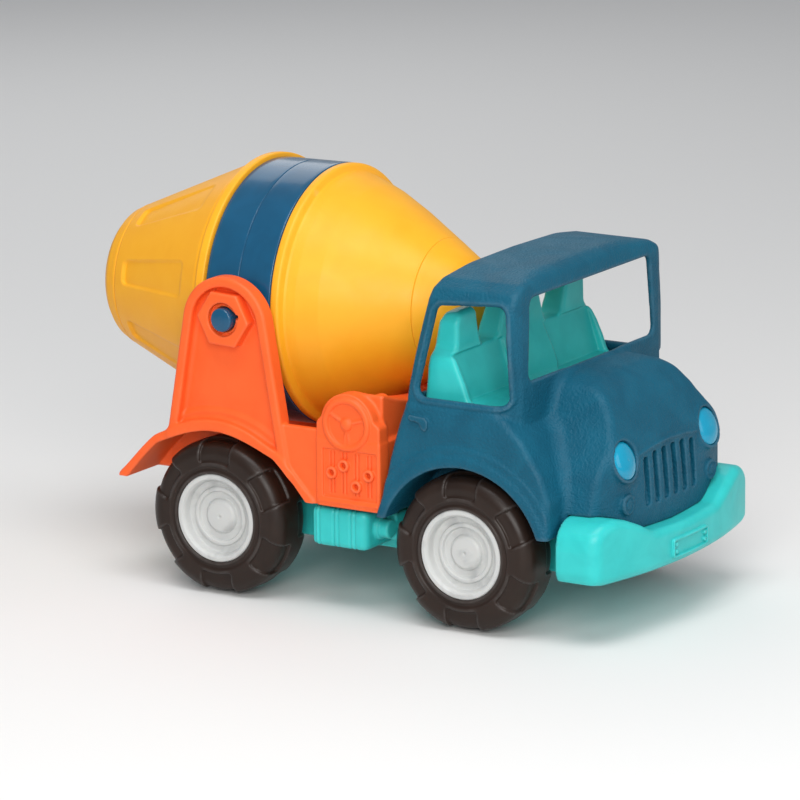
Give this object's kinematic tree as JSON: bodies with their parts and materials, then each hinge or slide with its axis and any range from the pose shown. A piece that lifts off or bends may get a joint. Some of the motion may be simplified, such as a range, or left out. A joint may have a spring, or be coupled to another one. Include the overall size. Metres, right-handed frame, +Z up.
{
  "type": "toy cement mixer truck",
  "caption": "Toy cement mixer truck with an open cab and seats, a drum that spins in a ring and tilts between two uprights, and free-rolling wheels.",
  "frame": {"origin": "on the ground, under the middle of the truck", "axes": "+X forward, towards the bumper; +Y to the truck's left; +Z up"},
  "size_m": [0.2866, 0.144, 0.1836],
  "materials": {
    "cab_plastic": "fine pebbled matte, denim blue",
    "aqua_plastic": "satin, aqua",
    "lamp_plastic": "glossy, sky blue",
    "orange_plastic": "satin, coral orange",
    "ring_plastic": "glossy, blue",
    "drum_plastic": "satin, yolk yellow",
    "tyre_plastic": "dull, very dark brown",
    "hub_plastic": "satin, off-white",
    "axle_steel": "bright"
  },
  "bodies": {
    "chassis": {"cab_shell": "cab_plastic", "seat_insert": "aqua_plastic", "headlight_right": "lamp_plastic", "headlight_left": "lamp_plastic", "front_bumper": "aqua_plastic", "underbody": "aqua_plastic", "side_tank_right": "aqua_plastic", "side_tank_left": "aqua_plastic", "frame_right": "orange_plastic", "frame_left": "orange_plastic", "upright_right": "orange_plastic", "upright_left": "orange_plastic", "control_panel_right": "orange_plastic", "control_panel_left": "orange_plastic", "underbody_screws": "axle_steel"},
    "drum_cradle": {"drum_ring_front": "ring_plastic", "drum_ring_rear": "ring_plastic", "trunnion_pin_right": "ring_plastic", "trunnion_pin_left": "ring_plastic"},
    "drum": {"drum_nose_cap": "drum_plastic", "drum_front_shell": "drum_plastic", "drum_barrel": "drum_plastic", "drum_rear_shell": "drum_plastic", "drum_mouth_rim": "drum_plastic"},
    "front_wheels": {"front_axle": "axle_steel", "front_hub_right": "hub_plastic", "front_hub_left": "hub_plastic", "front_tyre_right": "tyre_plastic", "front_tyre_left": "tyre_plastic"},
    "rear_wheels": {"rear_axle": "axle_steel", "rear_hub_right": "hub_plastic", "rear_hub_left": "hub_plastic", "rear_tyre_right": "tyre_plastic", "rear_tyre_left": "tyre_plastic"}
  },
  "joints": [
    {"name": "drum_tilt", "type": "hinge", "parent": "chassis", "child": "drum_cradle", "pos_m": [-0.051, 0, 0.1236], "axis": [0, -1, 0], "range_deg": [-2, 28]},
    {"name": "drum_spin", "type": "hinge", "parent": "drum_cradle", "child": "drum", "pos_m": [-0.051, 0, 0.1236], "axis": [0.9998, 0, 0.0174], "continuous": true},
    {"name": "front_wheels_roll", "type": "hinge", "parent": "chassis", "child": "front_wheels", "pos_m": [0.0692, 0, 0.0345], "axis": [0, 1, 0], "continuous": true},
    {"name": "rear_wheels_roll", "type": "hinge", "parent": "chassis", "child": "rear_wheels", "pos_m": [-0.0558, 0, 0.0345], "axis": [0, 1, 0], "continuous": true}
  ]
}
